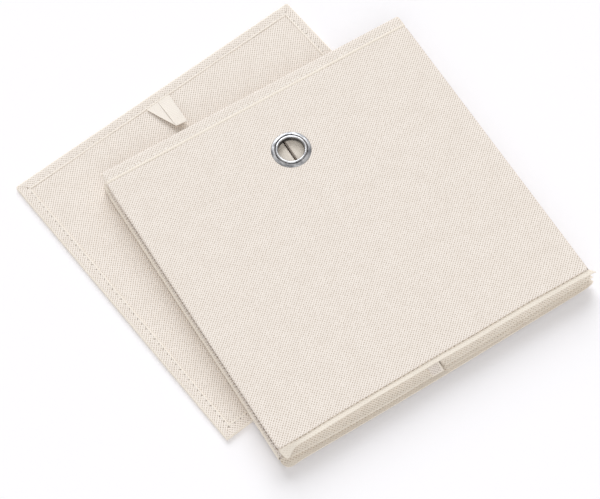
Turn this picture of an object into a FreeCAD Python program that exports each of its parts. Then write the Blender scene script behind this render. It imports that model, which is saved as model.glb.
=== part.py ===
import FreeCAD, Part
import math
import os

from FreeCAD import Vector

# A fabric storage box folded flat, lying on its separate base board. Millimetres, +Z up.
# The floor is z = 0. X runs across the front wall and +Y from the bottom seam to the hem.
# The origin is on the underside of the base board, half way across the front wall and HEM_Y from its hem.

# Box
BOX_WIDTH = 280.0
WALL_HEIGHT = 271.0
HEM_Y = 139.5
SIDE_SLIP = 2.5
BACK_SLIP = 4.5
CORNER_RADIUS = 2.5
EDGE_RADIUS = 0.8

# Sheets that a wall is sewn from, and the bottom's single soft layer
COVER = 0.5
CARDBOARD = 2.0
LINING = 0.5
BOTTOM_FABRIC = 0.4

# Hem band and seam allowance
HEM_BAND = 0.25
HEM_WIDTH = 11.5
SEAM_ALLOWANCE = 7.0
SEAM_THICKNESS = 1.4
FRONT_SEAM_DROOP = 25.0
SEAM_END_GAP = 4.0

# Folds and corners
SOFT_GAP = 0.3
SLOT = 1.2
SLIT = 1.6
FOLD_HINGE_GAP = 0.4
CORNER_WRAP = 0.5
WRAP_CLEARANCE = 0.15
BOTTOM_CLEARANCE = 0.5

# Fabric tab at the bottom end of the left fold
TAB_WIDTH = 9.0
TAB_THICKNESS = 0.8
TAB_LEDGE = 1.5
TAB_REACH = 7.5
TAB_DROP = 7.4

# Eyelet and the washer behind it
EYELET_BELOW_HEM = 61.5
EYELET_BORE_RADIUS = 10.75
EYELET_RADIUS = 16.2
BARREL_WALL = 0.5
BARREL_CLEARANCE = 0.15
FLANGE_RISE = 0.95
FLANGE_MIDDLE_RISE = 0.7
FLANGE_INNER_RADIUS = 13.1
LIP_RISE = 1.6
LIP_ROOT_RISE = 0.5
WASHER_RADIUS = 15.0
WASHER_THICKNESS = 0.5
CLINCH_THICKNESS = 0.45
CLINCH_RADIUS = 12.6

# Base board, its border and its pull loop
BOARD_LENGTH = 276.0
BOARD_CORE = 2.4
BOARD_FABRIC = 0.5
BOARD_BORDER = 8.5
BOARD_CORNER_RADIUS = 2.0
BOARD_CENTRE_X = -45.4
BOARD_CENTRE_Y = 53.9
BOARD_TURN = 7.2
LOOP_WIDTH = 11.3
LOOP_TIP_WIDTH = 9.4
LOOP_LENGTH = 29.0
LOOP_ROOT_X = -4.0
LOOP_TIP_X = -2.0
LOOP_RIBBON = 0.5

# Heights of the folded stack, worked out from the sheets. FABRIC_SPACE holds two layers of bottom fabric.
WALL_THICKNESS = COVER + CARDBOARD + LINING
FABRIC_SPACE = 3 * SOFT_GAP + 2 * BOTTOM_FABRIC
BOARD_THICKNESS = BOARD_CORE + 2 * BOARD_FABRIC
BACK_Z = BOARD_THICKNESS + SOFT_GAP + HEM_BAND
LOWER_SIDE_Z = BACK_Z + WALL_THICKNESS + FABRIC_SPACE
UPPER_SIDE_Z = LOWER_SIDE_Z + WALL_THICKNESS + SLOT
FRONT_Z = UPPER_SIDE_Z + WALL_THICKNESS + FABRIC_SPACE

# Hinge lines: at the four corners of the box, and along the middle of each side wall
CORNER_HINGE_X = BOX_WIDTH / 2 - CORNER_WRAP - WRAP_CLEARANCE - WALL_THICKNESS - FABRIC_SPACE / 2
FOLD_HINGE_X = SLIT / 2 - FOLD_HINGE_GAP
BACK_HINGE_Z = LOWER_SIDE_Z - FABRIC_SPACE / 2
FOLD_HINGE_Z = UPPER_SIDE_Z - SLOT / 2
FRONT_HINGE_Z = FRONT_Z - FABRIC_SPACE / 2

EYELET_Y = HEM_Y - EYELET_BELOW_HEM
EYELET_HOLE_RADIUS = EYELET_BORE_RADIUS + BARREL_WALL + BARREL_CLEARANCE
SIDES = {"left": -1, "right": 1}
SAME_HEIGHT = 1e-6


class Wall:
    """One stiff wall lying flat. Its outside faces up if outside is 1, and down if it is -1."""

    def __init__(self, name, x_ends, slip, z_low, outside):
        self.name = name
        self.x_low, self.x_high = sorted(x_ends)
        self.hem_y = HEM_Y - slip
        self.seam_y = self.hem_y - WALL_HEIGHT
        self.z_low = z_low
        self.z_high = z_low + WALL_THICKNESS
        self.outside = outside

    def layer(self, depth, thickness):
        """Lowest and highest z of a sheet that starts at this depth below the outside face."""
        if self.outside > 0:
            return self.z_high - depth - thickness, self.z_high - depth
        return self.z_low + depth, self.z_low + depth + thickness

    def inside_heights(self):
        """Lowest and highest z of the bottom fabric that lies against the inside face."""
        if self.outside > 0:
            return self.z_low - SOFT_GAP - BOTTOM_FABRIC, self.z_low - SOFT_GAP
        return self.z_high + SOFT_GAP, self.z_high + SOFT_GAP + BOTTOM_FABRIC


def rounded_block(x_low, x_high, y_low, y_high, z_low, z_high, radius):
    """A block whose four upright edges are rounded."""
    size = (x_high - x_low, y_high - y_low, z_high - z_low)
    block = Part.makeBox(*size, Vector(x_low, y_low, z_low))
    if radius <= 0:
        return block
    upright = [edge for edge in block.Edges if edge.BoundBox.ZLength > size[2] / 2]
    return block.makeFillet(radius, upright)


def wall_block(wall, inset, z_low, z_high):
    """The wall's outline, drawn in by inset, between two heights."""
    return rounded_block(
        wall.x_low + inset, wall.x_high - inset,
        wall.seam_y + inset, wall.hem_y - HEM_BAND - inset,
        z_low, z_high, CORNER_RADIUS - inset)


def across_stack(y_low, y_high):
    """A block wider and taller than the whole stack, between two values of y."""
    return Part.makeBox(2 * BOX_WIDTH, y_high - y_low, 2 * FRONT_Z, Vector(-BOX_WIDTH, y_low, 0))


def side_walls():
    """The four halves of the two side walls, by name."""
    halves = {}
    for side, sign in SIDES.items():
        ends = (sign * CORNER_HINGE_X, sign * SLIT / 2)
        halves[side + "_lower"] = Wall(side + "_lower", ends, SIDE_SLIP, LOWER_SIDE_Z, 1)
        halves[side + "_upper"] = Wall(side + "_upper", ends, SIDE_SLIP, UPPER_SIDE_Z, -1)
    return halves


def all_walls():
    """Every wall of the box, by name, from the front down."""
    half_width = BOX_WIDTH / 2 - CORNER_WRAP
    walls = {"front": Wall("front", (-half_width, half_width), 0.0, FRONT_Z, 1)}
    walls.update(side_walls())
    walls["back"] = Wall("back", (-half_width, half_width), BACK_SLIP, BACK_Z, -1)
    return walls


def cover(wall):
    """Outside fabric: a shallow tray over the cardboard, with soft edges on its outside face."""
    outer = wall_block(wall, 0.0, wall.z_low, wall.z_high)
    face_z = wall.z_high if wall.outside > 0 else wall.z_low
    rim = [edge for edge in outer.Edges
           if edge.BoundBox.ZLength < SAME_HEIGHT and abs(edge.BoundBox.ZMin - face_z) < SAME_HEIGHT]
    outer = outer.makeFillet(EDGE_RADIUS, rim)
    return outer.cut(wall_block(wall, COVER, *wall.layer(COVER, WALL_THICKNESS - COVER)))


def cardboard(wall):
    """Stiffener between the cover and the lining."""
    return wall_block(wall, COVER, *wall.layer(COVER, CARDBOARD))


def lining(wall):
    """Inside fabric, set into the cover's edge."""
    return wall_block(wall, COVER, *wall.layer(COVER + CARDBOARD, LINING))


def hem_band(wall):
    """Band of fabric folded over the wall's top edge."""
    cap = rounded_block(
        wall.x_low - HEM_BAND, wall.x_high + HEM_BAND, wall.seam_y, wall.hem_y,
        wall.z_low - HEM_BAND, wall.z_high + HEM_BAND, CORNER_RADIUS + HEM_BAND)
    below_band = across_stack(wall.seam_y, wall.hem_y - HEM_WIDTH)
    return cap.cut(below_band).cut(wall_block(wall, 0.0, wall.z_low, wall.z_high))


def straight_seam(wall, x_low, x_high):
    """Seam allowance that lies flat below the wall's bottom seam."""
    z_low, z_high = wall.layer(0.0, SEAM_THICKNESS)
    strip = rounded_block(
        x_low, x_high, wall.seam_y - SEAM_ALLOWANCE, wall.seam_y + SEAM_ALLOWANCE,
        z_low, z_high, CORNER_RADIUS)
    return strip.cut(across_stack(wall.seam_y, wall.hem_y))


def prism_along_x(profile, x_low, x_high):
    """A solid with this outline in Y and Z, between two values of x."""
    points = [Vector(x_low, y, z) for y, z in profile]
    face = Part.Face(Part.makePolygon(points + points[:1]))
    return face.extrude(Vector(x_high - x_low, 0, 0))


def front_seam(wall):
    """Seam allowance of the front wall, which droops over the end of the stack."""
    turn = math.radians(FRONT_SEAM_DROOP)
    tip_y = wall.seam_y - SEAM_ALLOWANCE * math.cos(turn)
    tip_z = wall.z_high - SEAM_ALLOWANCE * math.sin(turn)
    profile = [
        (wall.seam_y, wall.z_high),
        (tip_y, tip_z),
        (tip_y + SEAM_THICKNESS * math.sin(turn), tip_z - SEAM_THICKNESS * math.cos(turn)),
        (wall.seam_y, wall.z_high - SEAM_THICKNESS / math.cos(turn)),
    ]
    return prism_along_x(profile, wall.x_low, wall.x_high)


def corner_wrap(wall, side_half, sign):
    """Cover fabric round the corner from the front or back wall to a side wall's half."""
    z_low = min(wall.z_low, side_half.z_low)
    z_high = max(wall.z_high, side_half.z_high)
    x_low, x_high = sorted((sign * (BOX_WIDTH / 2 - CORNER_WRAP), sign * BOX_WIDTH / 2))
    y_high = min(wall.hem_y, side_half.hem_y) - HEM_WIDTH - SOFT_GAP
    return rounded_block(x_low, x_high, wall.seam_y, y_high, z_low, z_high, 0.0)


def fold_tab(wall):
    """Fabric tab that slants from the left side wall's fold down to the back wall's rim."""
    top_z = wall.z_high - SOFT_GAP
    top_line = [
        (wall.seam_y, top_z),
        (wall.seam_y - TAB_LEDGE, top_z),
        (wall.seam_y - TAB_REACH, top_z - TAB_DROP),
    ]
    under_line = [(y, z - TAB_THICKNESS) for y, z in reversed(top_line)]
    return prism_along_x(top_line + under_line, wall.x_high - TAB_WIDTH, wall.x_high)


def plate(corners, z_low, z_high):
    """A flat sheet with straight edges, between two heights."""
    points = [Vector(x, y, z_low) for x, y in corners]
    face = Part.Face(Part.makePolygon(points + points[:1]))
    return face.extrude(Vector(0, 0, z_high - z_low))


def wide_triangle(wall):
    """Quarter of the bottom fabric that is sewn to the front or back wall."""
    reach = CORNER_HINGE_X - BOTTOM_CLEARANCE
    base_y = wall.seam_y + BOTTOM_CLEARANCE
    corners = [(-reach, base_y), (reach, base_y), (0.0, base_y + reach)]
    return plate(corners, *wall.inside_heights())


def narrow_triangle(wall, sign):
    """Eighth of the bottom fabric that is sewn to one half of a side wall."""
    reach = CORNER_HINGE_X - BOTTOM_CLEARANCE
    fold = SLIT / 2 + BOTTOM_CLEARANCE
    base_y = wall.seam_y + BOTTOM_CLEARANCE
    corners = [(sign * reach, base_y), (sign * fold, base_y), (sign * fold, base_y + reach - fold)]
    return plate(corners, *wall.inside_heights())


def pierced(sheet):
    """A front wall sheet with the hole for the eyelet's barrel."""
    return sheet.cut(Part.makeCylinder(EYELET_HOLE_RADIUS, 2 * FRONT_Z, Vector(0, EYELET_Y, 0)))


def turned_ring(edges):
    """A ring about the eyelet's axis from the edges of its outline in X and Z."""
    face = Part.Face(Part.Wire(edges))
    ring = face.revolve(Vector(0, 0, 0), Vector(0, 0, 1), 360)
    return ring.translated(Vector(0, EYELET_Y, 0))


def eyelet_ring(wall):
    """Flanged ring: a sloping flange, a rolled lip, and a barrel clinched behind the washer."""
    top, under = wall.z_high, wall.z_low - WASHER_THICKNESS
    bore, barrel = EYELET_BORE_RADIUS, EYELET_BORE_RADIUS + BARREL_WALL
    valley_z = top + (FLANGE_RISE + LIP_ROOT_RISE) / 2

    def at(radius, z):
        return Vector(radius, 0, z)

    flange = Part.Arc(
        at(EYELET_RADIUS, top),
        at((EYELET_RADIUS + FLANGE_INNER_RADIUS) / 2, top + FLANGE_MIDDLE_RISE),
        at(FLANGE_INNER_RADIUS, top + FLANGE_RISE))
    lip = Part.Arc(
        at(FLANGE_INNER_RADIUS, valley_z),
        at((FLANGE_INNER_RADIUS + bore) / 2, top + LIP_RISE),
        at(bore, top + LIP_ROOT_RISE))
    corners = [
        at(bore, under),
        at(barrel, under - CLINCH_THICKNESS),
        at(CLINCH_RADIUS, under - CLINCH_THICKNESS),
        at(CLINCH_RADIUS, under),
        at(barrel, under),
        at(barrel, top),
        at(EYELET_RADIUS, top),
    ]
    edges = [flange.toShape(), Part.makeLine(at(FLANGE_INNER_RADIUS, top + FLANGE_RISE), lip.StartPoint)]
    edges += [lip.toShape(), Part.makeLine(lip.EndPoint, corners[0])]
    edges += [Part.makeLine(a, b) for a, b in zip(corners, corners[1:])]
    return turned_ring(edges)


def eyelet_washer(wall):
    """Flat washer on the front wall's lining."""
    base = Vector(0, EYELET_Y, wall.z_low - WASHER_THICKNESS)
    disc = Part.makeCylinder(WASHER_RADIUS, WASHER_THICKNESS, base)
    return disc.cut(Part.makeCylinder(EYELET_HOLE_RADIUS, WASHER_THICKNESS, base))


def board_block(inset, z_low, z_high):
    """The base board's outline about its own centre, drawn in by inset, between two heights."""
    reach = BOARD_LENGTH / 2 - inset
    radius = max(BOARD_CORNER_RADIUS - inset, 0.0)
    return rounded_block(-reach, reach, -reach, reach, z_low, z_high, radius)


def on_board(shape):
    """A base board piece, moved from the board's own centre to where the board lies."""
    turned = shape.copy()
    turned.rotate(Vector(0, 0, 0), Vector(0, 0, 1), BOARD_TURN)
    turned.translate(Vector(BOARD_CENTRE_X, BOARD_CENTRE_Y, 0))
    return turned


def base_board_pieces():
    """Core, top fabric, and bottom fabric that wraps over the edge as the border."""
    core_low, core_high = BOARD_FABRIC, BOARD_FABRIC + BOARD_CORE
    wrapped = board_block(0.0, 0.0, BOARD_THICKNESS)
    wrapped = wrapped.cut(board_block(BOARD_FABRIC, core_low, core_high))
    wrapped = wrapped.cut(board_block(BOARD_BORDER, core_high, BOARD_THICKNESS))
    return {
        "base_board_core": on_board(board_block(BOARD_FABRIC, core_low, core_high)),
        "base_board_top_fabric": on_board(board_block(BOARD_BORDER, core_high, BOARD_THICKNESS)),
        "base_board_wrapped_fabric": on_board(wrapped),
    }


def pull_loop():
    """Ribbon folded into a V: two legs from the border that lie on each other at the tip."""
    root_y = BOARD_LENGTH / 2 - BOARD_BORDER - SOFT_GAP
    tip_y = root_y - LOOP_LENGTH
    tip_left, tip_right = LOOP_TIP_X - LOOP_TIP_WIDTH / 2, LOOP_TIP_X + LOOP_TIP_WIDTH / 2
    z_low = BOARD_THICKNESS + SOFT_GAP
    legs = []
    for sign, level in ((-1, 0), (1, 1)):
        outer_x = LOOP_ROOT_X + sign * LOOP_WIDTH
        root_left, root_right = sorted((LOOP_ROOT_X, outer_x))
        corners = [(root_left, root_y), (root_right, root_y), (tip_right, tip_y), (tip_left, tip_y)]
        bottom = z_low + level * LOOP_RIBBON
        legs.append(plate(corners, bottom, bottom + LOOP_RIBBON))
    return on_board(legs[0].fuse(legs[1]).removeSplitter())


def wall_pieces(walls):
    """Cover, cardboard, lining, hem band and seam allowance of every wall."""
    pieces = {}
    for name, wall in walls.items():
        sheets = {"cover": cover(wall), "cardboard": cardboard(wall), "lining": lining(wall)}
        for sheet_name, sheet in sheets.items():
            pieces[name + "_" + sheet_name] = pierced(sheet) if name == "front" else sheet
        pieces[name + "_hem_band"] = hem_band(wall)
    pieces["front_seam_allowance"] = front_seam(walls["front"])
    back = walls["back"]
    pieces["back_seam_allowance"] = straight_seam(back, back.x_low, back.x_high)
    for side, sign in SIDES.items():
        inner = SLIT / 2 + (TAB_WIDTH + SOFT_GAP if side == "left" else 0.0)
        x_low, x_high = sorted((sign * (CORNER_HINGE_X - SEAM_END_GAP), sign * inner))
        for level in ("upper", "lower"):
            name = side + "_" + level
            pieces[name + "_seam_allowance"] = straight_seam(walls[name], x_low, x_high)
    return pieces


def corner_and_bottom_pieces(walls):
    """Corner wraps, the bottom fabric's triangles and the tab."""
    pieces = {}
    for level, wall in (("upper", walls["front"]), ("lower", walls["back"])):
        pieces["bottom_fabric_" + wall.name] = wide_triangle(wall)
        for side, sign in SIDES.items():
            half = walls[side + "_" + level]
            pieces[wall.name + "_" + side + "_corner_wrap"] = corner_wrap(wall, half, sign)
            pieces["bottom_fabric_" + half.name] = narrow_triangle(half, sign)
    pieces["fold_tab"] = fold_tab(walls["left_upper"])
    return pieces


def all_pieces():
    """Every piece of the box and its base board, by node name."""
    walls = all_walls()
    pieces = wall_pieces(walls)
    pieces.update(corner_and_bottom_pieces(walls))
    pieces["eyelet_ring"] = eyelet_ring(walls["front"])
    pieces["eyelet_washer"] = eyelet_washer(walls["front"])
    pieces.update(base_board_pieces())
    pieces["pull_loop"] = pull_loop()
    return pieces


def export_pieces():
    """Writes one STEP file per piece."""
    os.makedirs("parts", exist_ok=True)
    for name, shape in all_pieces().items():
        solid = shape.Solids[0] if len(shape.Solids) == 1 else shape
        print(name, "solids", len(shape.Solids), "valid", shape.isValid(), "mm3", round(shape.Volume, 1))
        solid.exportStep("parts/" + name + ".step")


export_pieces()
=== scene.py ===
"""Dresses the folded fabric storage box on its base board, and sets the plain studio round it.

Lengths are in millimetres in the box's own frame until a mesh is made, and in metres from there on.
"""
import logging
import math
from dataclasses import dataclass, field
from enum import Enum
from typing import Iterable, Sequence

import bmesh
import bpy
import numpy as np
from mathutils import Matrix, Vector


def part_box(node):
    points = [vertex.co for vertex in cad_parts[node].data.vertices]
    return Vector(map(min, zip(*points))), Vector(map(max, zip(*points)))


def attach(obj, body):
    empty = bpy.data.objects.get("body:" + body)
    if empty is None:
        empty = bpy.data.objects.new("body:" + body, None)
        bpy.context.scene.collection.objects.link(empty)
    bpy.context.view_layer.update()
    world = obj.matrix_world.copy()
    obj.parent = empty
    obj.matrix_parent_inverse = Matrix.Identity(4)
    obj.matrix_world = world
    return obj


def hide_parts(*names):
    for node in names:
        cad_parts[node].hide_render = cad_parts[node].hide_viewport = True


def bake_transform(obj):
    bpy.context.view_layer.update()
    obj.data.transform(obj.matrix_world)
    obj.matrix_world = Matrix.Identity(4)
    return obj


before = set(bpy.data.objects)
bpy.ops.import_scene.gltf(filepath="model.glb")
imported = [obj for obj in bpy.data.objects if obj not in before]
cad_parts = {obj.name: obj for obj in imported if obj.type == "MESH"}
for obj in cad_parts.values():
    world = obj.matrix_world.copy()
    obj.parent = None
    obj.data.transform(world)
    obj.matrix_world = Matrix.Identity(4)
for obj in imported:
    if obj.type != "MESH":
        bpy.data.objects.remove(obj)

log = logging.getLogger("storage_box")

MM = 0.001
WELD_MM = 0.002
WEAVE = "weave"
# A wave texture draws one line in this length at a scale of 1.
WAVE_LENGTH = 0.314
POLYESTER_IOR, POLYPROPYLENE_IOR = 1.58, 1.49
CREAM, LINING, RIBBON, NICKEL = "cream_fabric", "lining_fabric", "ribbon", "nickel"

Array = np.ndarray
Point = tuple[float, float, float]
Pairs = tuple[tuple[float, float], ...]


class Facing(Enum):
    """Which way a wall's outside face looks while the box is folded."""

    UP = 1
    DOWN = -1


class Side(Enum):
    """The left or right side of the box."""

    LEFT = -1
    RIGHT = 1


class Held(Enum):
    """How a sheet of cloth is held."""

    LAID = "laid"
    FOLDED = "folded"
    STRETCHED = "stretched"


# Small helpers


def linear(colour: str) -> tuple[float, float, float, float]:
    """Turns an sRGB hex colour into linear red, green and blue, with an alpha of 1."""
    channels = [int(colour[i:i + 2], 16) / 255 for i in (1, 3, 5)]
    return (*(c / 12.92 if c <= 0.04045 else ((c + 0.055) / 1.055) ** 2.4 for c in channels), 1.0)


def add_node(tree: bpy.types.NodeTree, kind: str, inputs: dict | None = None,
             **settings: object) -> bpy.types.Node:
    """Adds one node with its settings, values and links.

    Args:
        tree: The node tree that gets the node.
        kind: The node's type name after "ShaderNode".
        inputs: Socket names or numbers, each with a value, a hex colour, or the node or output that feeds it.
        **settings: Properties of the node itself.

    Returns:
        The new node.
    """
    node = tree.nodes.new("ShaderNode" + kind)
    for name, value in settings.items():
        setattr(node, name, value)
    for socket, value in (inputs or {}).items():
        if isinstance(value, bpy.types.Node):
            value = next(output for output in value.outputs if output.enabled)
        if isinstance(value, bpy.types.NodeSocket):
            tree.links.new(value, node.inputs[socket])
        else:
            node.inputs[socket].default_value = linear(value) if isinstance(value, str) else value
    return node


def empty_tree(owner: bpy.types.Material | bpy.types.World) -> bpy.types.NodeTree:
    """Gives a material or world its node tree.

    Args:
        owner: The material or world.

    Returns:
        Its tree, with nothing in it.
    """
    owner.use_nodes = True
    owner.node_tree.nodes.clear()
    return owner.node_tree


def in_scene(name: str, data: bpy.types.ID) -> bpy.types.Object:
    """Makes an object and puts it in the scene.

    Args:
        name: Name of the object.
        data: Its mesh, lamp or camera.

    Returns:
        The new object.
    """
    made = bpy.data.objects.new(name, data)
    bpy.context.scene.collection.objects.link(made)
    return made


def box_of(node: str) -> list[Array]:
    """Lowest and highest corner of a CAD node, in millimetres."""
    return [np.array(corner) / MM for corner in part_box(node)]


def smooth_step(value: Array, low: float, high: float) -> Array:
    """Rises smoothly from 0 at low to 1 at high."""
    share = np.clip((value - low) / (high - low), 0.0, 1.0)
    return share * share * (3 - 2 * share)


def ripple(x: Array, y: Array | float, seed: int) -> Array:
    """Slow, even waviness of hand-sewn cloth.

    Args:
        x: Places across, in millimetres.
        y: Places along, in millimetres.
        seed: Picks one pattern of waves.

    Returns:
        Heights from about 0 to 1, the same on every run.
    """
    waves = np.random.default_rng(seed)
    total = np.zeros(np.broadcast(x, y).shape)
    for _ in range(6):
        heading = waves.uniform(0, math.tau)
        length = waves.uniform(38.0, 150.0)
        across = (x * math.cos(heading) + y * math.sin(heading)) / length
        total += np.sin(math.tau * across + waves.uniform(0, math.tau))
    return np.clip(0.5 + total / 6, 0.0, 1.0)


def through(points: Sequence[Point], count: int) -> Array:
    """Draws a smooth line through a few points.

    Args:
        points: The points that the line passes.
        count: How many points come back.

    Returns:
        An array of count points, spaced as the given ones are.
    """
    knots = np.array(points, float)
    padded = np.vstack([2 * knots[0] - knots[1], knots, 2 * knots[-1] - knots[-2]])
    spots = np.linspace(0, len(knots) - 1, count)
    start = np.minimum(spots.astype(int), len(knots) - 2)
    t = (spots - start)[:, None]
    a, b, c, d = (padded[start + i] for i in range(4))
    return 0.5 * (2 * b + (c - a) * t + (2 * a - 5 * b + 4 * c - d) * t ** 2
                  + (3 * b - a - 3 * c + d) * t ** 3)


def spread(low: float, high: float, step: float) -> Array:
    """Evenly spaced values from low to high, about step apart."""
    return np.linspace(low, high, max(2, round((high - low) / step) + 1))


def stacked(*parts: Array | float) -> Array:
    """Puts coordinates together as points, whatever their shapes broadcast to."""
    return np.stack(np.broadcast_arrays(*parts), -1)


def run(points: Array) -> Array:
    """How far along its line each point lies, for one line or for many side by side."""
    steps = np.linalg.norm(np.diff(points, axis=-2), axis=-1)
    return np.concatenate([np.zeros(steps.shape[:-1] + (1,)), np.cumsum(steps, axis=-1)], axis=-1)


def turned(points: Array, degrees: float) -> Array:
    """Turns points in the plane of their first two coordinates.

    Args:
        points: Points with two or three coordinates.
        degrees: How far they turn, from the first axis towards the second.

    Returns:
        The turned points.
    """
    c, s = math.cos(math.radians(degrees)), math.sin(math.radians(degrees))
    x, y = points[..., 0], points[..., 1]
    return np.concatenate([stacked(x * c - y * s, x * s + y * c), points[..., 2:]], -1)


def rounded(inset: Array, radius: float) -> Array:
    """How far a rounded corner falls back from its edge, at a distance in from its end."""
    return radius - np.sqrt(np.maximum(radius ** 2 - np.maximum(radius - inset, 0) ** 2, 0))


def level(z: float, *spots: tuple[float, float]) -> list[Point]:
    """Points at one height."""
    return [(x, y, z) for x, y in spots]


# Finishes


@dataclass(frozen=True)
class Finish:
    """A surface finish, made into a Blender material once and then shared."""

    name: str

    def material(self) -> bpy.types.Material:
        """Gives the finish its material on first use.

        Returns:
            The material, the same each time.
        """
        made = bpy.data.materials.get(self.name)
        if made is None:
            made = bpy.data.materials.new(self.name)
            self.lay(empty_tree(made))
        return made

    def lay(self, tree: bpy.types.NodeTree) -> None:
        """Builds the nodes in an empty tree; each kind of finish has its own."""
        raise NotImplementedError

    @staticmethod
    def close(tree: bpy.types.NodeTree, colour: bpy.types.Node, gloss: tuple, bump: tuple,
              inputs: dict) -> None:
        """Ends the tree with one surface shader.

        Args:
            tree: The material's nodes.
            colour: What gives the colour.
            gloss: What the roughness follows, and its value at 0 and at 1.
            bump: What the surface's height follows, its strength, and its height in millimetres.
            inputs: Values that are the same all over.
        """
        share, dull, bright = gloss
        rough = add_node(tree, "MapRange", {"Value": share, "To Min": dull, "To Max": bright})
        height, strength, distance = bump
        relief = add_node(tree, "Bump", {"Height": height, "Strength": strength, "Distance": distance * MM})
        surface = add_node(tree, "BsdfPrincipled", {
            "Base Color": colour, "Roughness": rough, "Normal": relief, **inputs})
        add_node(tree, "OutputMaterial", {"Surface": surface})


@dataclass(frozen=True)
class EmbossedSpunbond(Finish):
    """Spunbond polypropylene, hot-rolled between engraved rollers.

    The eye sees a fine square lattice of small melted dots, darker and smoother than the fluffy fibre
    between them, over a faintly cloudy sheet whose fibres never lie quite evenly.
    """

    raised: str = "#F7EFE7"
    pressed: str = "#C3B5A6"
    cloudy: str = "#F0E7DE"
    pitch: float = 1.8
    oval: tuple[float, float] = (1.3, 0.85)
    oval_turn: float = -13.0
    dot_share: float = 1.0
    height: float = 0.16
    fibre: float = 0.45

    def lay(self, tree: bpy.types.NodeTree) -> None:
        """Builds the nodes: melted dots, fibre and cloudiness.

        Args:
            tree: The material\'s empty node tree.
        """
        weave = add_node(tree, "UVMap", uv_map=WEAVE)
        # The rollers' lattice stands at 45 degrees to the cloth's edges, at the pitch read from the photo.
        lattice = add_node(tree, "Mapping", {
            "Vector": weave, "Rotation": (0, 0, math.radians(45)), "Scale": (1 / (self.pitch * MM),) * 3})
        # The web creeps under the rollers, so the rows wander a little and some dots are fainter than others.
        creep = add_node(tree, "TexNoise", {
            "Vector": weave, "Scale": 1 / (5 * MM), "Detail": 1.0}, noise_dimensions="2D")
        wandering = add_node(tree, "VectorMath", {
            0: creep.outputs["Color"], 1: (0.35, 0.35, 0.0), 2: lattice}, operation="MULTIPLY_ADD")
        cell = add_node(tree, "VectorMath", {0: wandering}, operation="FRACTION")
        centred = add_node(tree, "VectorMath", {0: cell, 1: (0.5, 0.5, 0.0)}, operation="SUBTRACT")
        # The engraved points are ovals, narrower one way than the other and turned a little in their lattice.
        oval = add_node(tree, "Mapping", {
            "Vector": centred, "Rotation": (0, 0, math.radians(self.oval_turn)),
            "Scale": (1 / self.oval[0], 1 / self.oval[1], 1)}, vector_type="TEXTURE")
        away = add_node(tree, "VectorMath", {0: oval}, operation="LENGTH")
        pressure = add_node(tree, "TexNoise", {
            "Vector": weave, "Scale": 1 / (2.4 * MM)}, noise_dimensions="2D")
        firm = add_node(tree, "MapRange", {
            "Value": pressure, "From Min": 0.35, "From Max": 0.6, "To Min": 0.6 * self.dot_share,
            "To Max": self.dot_share})
        melted = add_node(tree, "MapRange", {
            "Value": away, "From Min": 0.42, "From Max": 0.24, "To Max": firm},
            interpolation_type="SMOOTHSTEP")
        # Real fibres are 0.02 mm thick; they are drawn as tufts of about half a millimetre so that they show.
        tufts = add_node(tree, "TexNoise", {
            "Vector": weave, "Scale": 1 / (self.fibre * MM), "Detail": 3.0, "Roughness": 0.6},
            noise_dimensions="2D")
        clouds = add_node(tree, "TexNoise", {
            "Vector": weave, "Scale": 1 / (14 * MM), "Detail": 3.0, "Roughness": 0.55}, noise_dimensions="2D")
        uneven = add_node(tree, "MapRange", {
            "Value": clouds, "From Min": 0.35, "From Max": 0.7, "To Max": 0.55})
        sheet = add_node(tree, "Mix", {0: uneven, 6: self.raised, 7: self.cloudy}, data_type="RGBA")
        dotted = add_node(tree, "Mix", {0: melted, 6: sheet, 7: self.pressed}, data_type="RGBA")
        shade = add_node(tree, "MapRange", {
            "Value": tufts, "From Min": 0.3, "From Max": 0.7, "To Min": 0.965, "To Max": 1.03})
        colour = add_node(tree, "VectorMath", {0: dotted, "Scale": shade}, operation="SCALE")
        rise = add_node(tree, "Math", {0: tufts, 1: 0.35, 2: 0.0}, operation="MULTIPLY_ADD")
        height = add_node(tree, "Math", {0: rise, 1: melted}, operation="SUBTRACT")
        self.close(tree, colour, (melted, 0.88, 0.55), (height, 0.55, self.height), {
            "IOR": POLYPROPYLENE_IOR, "Sheen Weight": 0.06})


@dataclass(frozen=True)
class PlainSpunbond(Finish):
    """Thin spunbond polypropylene without the embossing, as the lining and the bottom are cut from.

    The eye sees a matte, slightly blotchy sheet with faint random fibres and no lattice.
    """

    thick: str = "#F8F0E5"
    thin: str = "#E8DED1"

    def lay(self, tree: bpy.types.NodeTree) -> None:
        """Builds the nodes: blotches and stray fibres.

        Args:
            tree: The material\'s empty node tree.
        """
        weave = add_node(tree, "UVMap", uv_map=WEAVE)
        blotches = add_node(tree, "TexNoise", {
            "Vector": weave, "Scale": 1 / (3.5 * MM), "Detail": 5.0, "Roughness": 0.65},
            noise_dimensions="2D")
        # Stray fibres are stretched ten to one along the web, which is how they are laid down.
        along = add_node(tree, "Mapping", {
            "Vector": weave, "Rotation": (0, 0, math.radians(12)),
            "Scale": (1 / (0.5 * MM), 1 / (5 * MM), 1)})
        strands = add_node(tree, "TexNoise", {"Vector": along, "Scale": 1.0}, noise_dimensions="2D")
        share = add_node(tree, "Math", {0: blotches, 1: strands}, operation="MULTIPLY")
        density = add_node(tree, "MapRange", {"Value": share, "From Min": 0.12, "From Max": 0.42})
        colour = add_node(tree, "Mix", {0: density, 6: self.thin, 7: self.thick}, data_type="RGBA")
        self.close(tree, colour, (density, 0.74, 0.9), (share, 0.5, 0.15), {
            "IOR": POLYPROPYLENE_IOR, "Sheen Weight": 0.05})


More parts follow.
